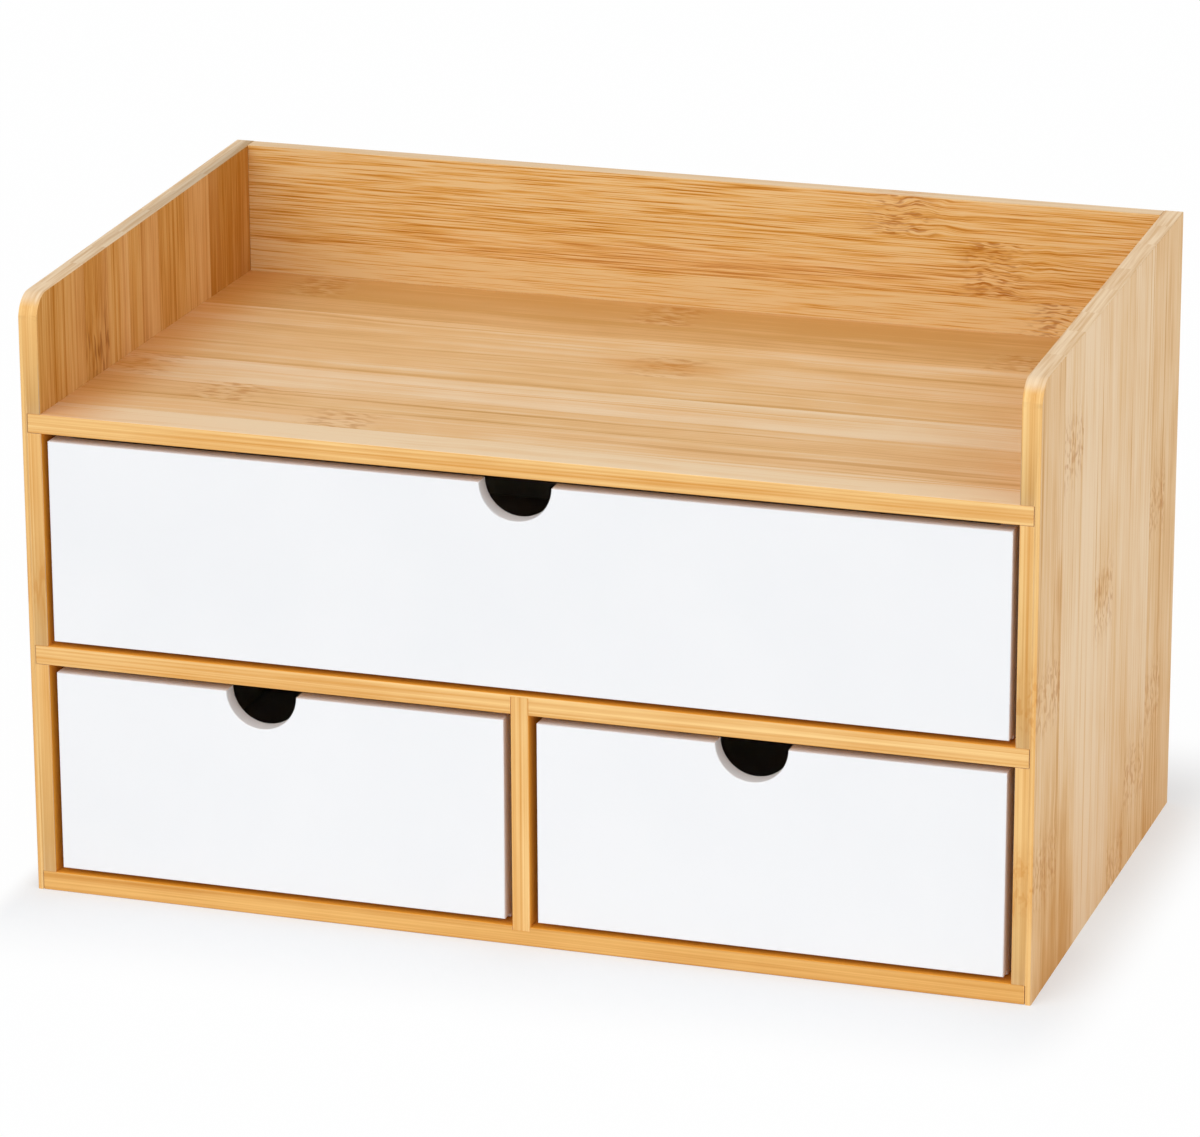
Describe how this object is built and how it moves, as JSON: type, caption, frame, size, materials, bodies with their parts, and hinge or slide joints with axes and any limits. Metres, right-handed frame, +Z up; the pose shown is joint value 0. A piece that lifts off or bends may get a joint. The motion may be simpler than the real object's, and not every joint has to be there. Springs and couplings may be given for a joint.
{
  "type": "desktop mini drawers",
  "caption": "Free-standing bamboo desk organiser with an open tray on top, a wide drawer below it and two small drawers side by side, all with white fronts and half-round finger notches.",
  "frame": {"origin": "on the ground, below the centre of the case", "axes": "+X along the width to the right seen from the front, -Y towards the drawer fronts, +Z up"},
  "size_m": [0.36, 0.205, 0.223],
  "materials": {
    "side_bamboo": "laminated bamboo strips with upright grain, sanded and clear lacquered, satin",
    "board_bamboo": "laminated bamboo strips with grain along the width, sanded and clear lacquered, satin",
    "back_bamboo": "bamboo board with level grain and fine dark streaks, clear lacquered, satin",
    "white_paint": "fibreboard sprayed with smooth satin white paint",
    "dowel_wood": "plain turned hardwood, hidden in the joints"
  },
  "bodies": {
    "case": {"left_side_panel": "side_bamboo", "right_side_panel": "side_bamboo", "back_panel": "back_bamboo", "top_shelf": "board_bamboo", "middle_shelf": "board_bamboo", "bottom_board": "board_bamboo", "divider": "side_bamboo", "case_dowels": "dowel_wood"},
    "large_drawer": {"large_drawer_front": "white_paint", "large_drawer_left_side": "white_paint", "large_drawer_right_side": "white_paint", "large_drawer_back": "white_paint", "large_drawer_bottom": "white_paint", "large_drawer_dowels": "dowel_wood"},
    "left_drawer": {"left_drawer_front": "white_paint", "left_drawer_left_side": "white_paint", "left_drawer_right_side": "white_paint", "left_drawer_back": "white_paint", "left_drawer_bottom": "white_paint", "left_drawer_dowels": "dowel_wood"},
    "right_drawer": {"right_drawer_front": "white_paint", "right_drawer_left_side": "white_paint", "right_drawer_right_side": "white_paint", "right_drawer_back": "white_paint", "right_drawer_bottom": "white_paint", "right_drawer_dowels": "dowel_wood"}
  },
  "joints": [
    {"name": "large_drawer_slide", "type": "slide", "parent": "case", "child": "large_drawer", "axis": [0, -1, 0], "range_m": [0, 0.15]},
    {"name": "left_drawer_slide", "type": "slide", "parent": "case", "child": "left_drawer", "axis": [0, -1, 0], "range_m": [0, 0.15]},
    {"name": "right_drawer_slide", "type": "slide", "parent": "case", "child": "right_drawer", "axis": [0, -1, 0], "range_m": [0, 0.15]}
  ]
}
